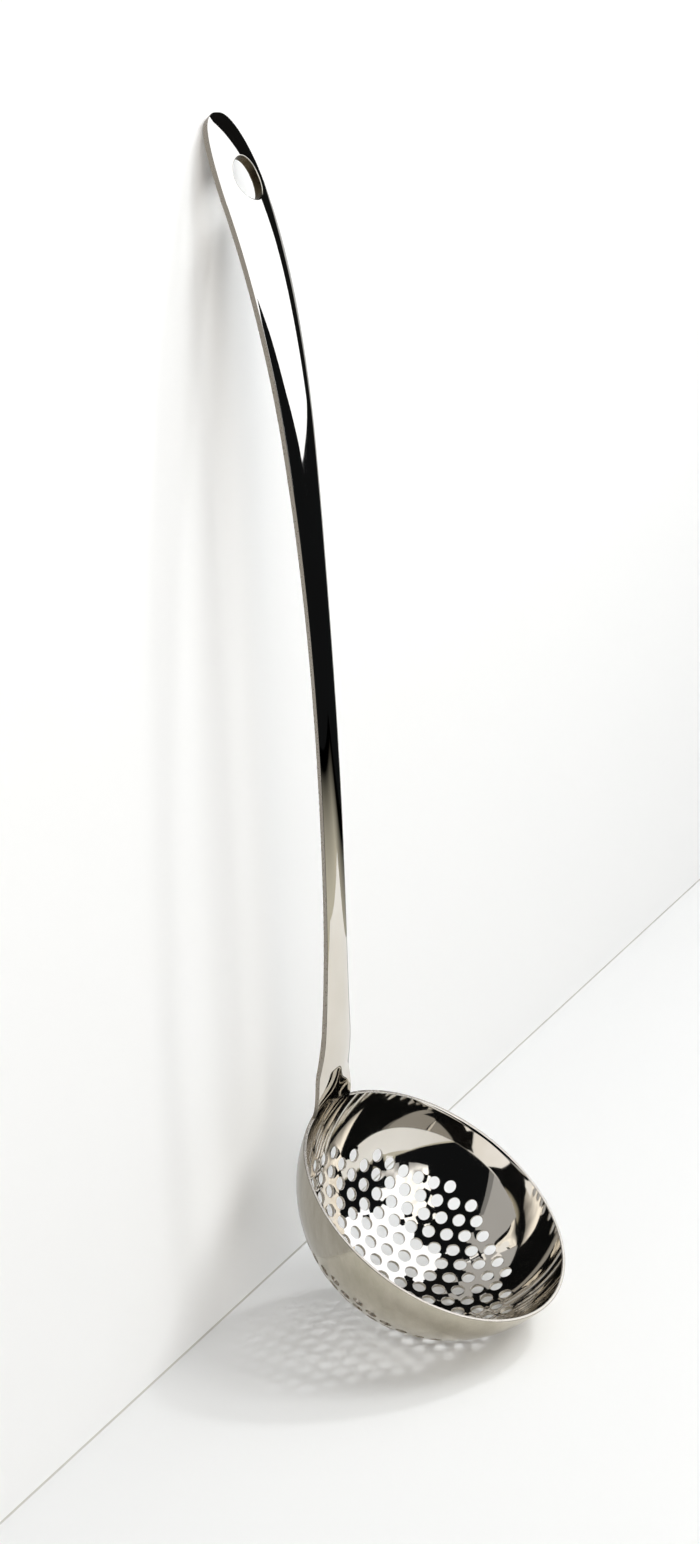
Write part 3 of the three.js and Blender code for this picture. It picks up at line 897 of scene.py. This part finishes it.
# A soft lamp seen from the ladle at this bearing and height in degrees, and in no reflection
def soft_lamp(name, bearing, height, distance, size, power, colour):
    data = bpy.data.lights.new(name, "AREA")
    data.shape = "RECTANGLE"
    data.size, data.size_y = size
    data.energy = power
    data.color = colour
    az, el = math.radians(bearing), math.radians(height)
    away = distance * Vector((math.cos(el) * math.cos(az), math.cos(el) * math.sin(az), math.sin(el)))
    ob = bpy.data.objects.new(name, data)
    ob.location = AIM + away
    ob.rotation_mode = "QUATERNION"
    ob.rotation_quaternion = (-away).to_track_quat("-Z", "Y")
    bpy.context.scene.collection.objects.link(ob)
    ob.visible_glossy = False
    ob.visible_camera = False


soft_lamp("lamp_a", -42, 26, 3.0, (1.75, 1.75), 38, WARM)
soft_lamp("lamp_b", 25, 50, 1.4, (0.58, 0.58), 7.7, COOL)
soft_lamp("lamp_c", 68, 44, 2.0, (1.6, 1.6), 10.5, COOL)
soft_lamp("lamp_d", -14, 40, 1.5, (0.56, 0.56), 5.1, COOL)
soft_lamp("lamp_hot", 64, 47, 1.5, (0.09, 0.13), 4.2, COOL)
soft_lamp("lamp_top", 60, 80, 2.0, (0.9, 0.9), 5, COOL)

# Camera: the photograph's own viewpoint, solved from the rim, the holes and the handle's edges
FOCAL_PIXELS = 2350
PHOTO_HEIGHT = 1544
SENSOR = 36
CAMERA_RIGHT = (0.8702081, 0.4915475, -0.0334514)
CAMERA_UP = (-0.0888933, 0.2234281, 0.9706585)
CAMERA_BACK = (0.4845987, -0.8417012, 0.2381243)
CAMERA_AT = (0.335978, -0.539831, -0.005144)
cam_data = bpy.data.cameras.new("camera")
cam = bpy.data.objects.new("camera", cam_data)
bpy.context.scene.collection.objects.link(cam)
cam.matrix_world = Matrix((*zip(CAMERA_RIGHT, CAMERA_UP, CAMERA_BACK, CAMERA_AT), (0, 0, 0, 1)))
cam_data.sensor_width = SENSOR
cam_data.lens = SENSOR * FOCAL_PIXELS / PHOTO_HEIGHT
cam_data.clip_start = 0.01
cam_data.clip_end = 50
bpy.context.scene.camera = cam
bpy.context.scene.view_settings.view_transform = "Standard"
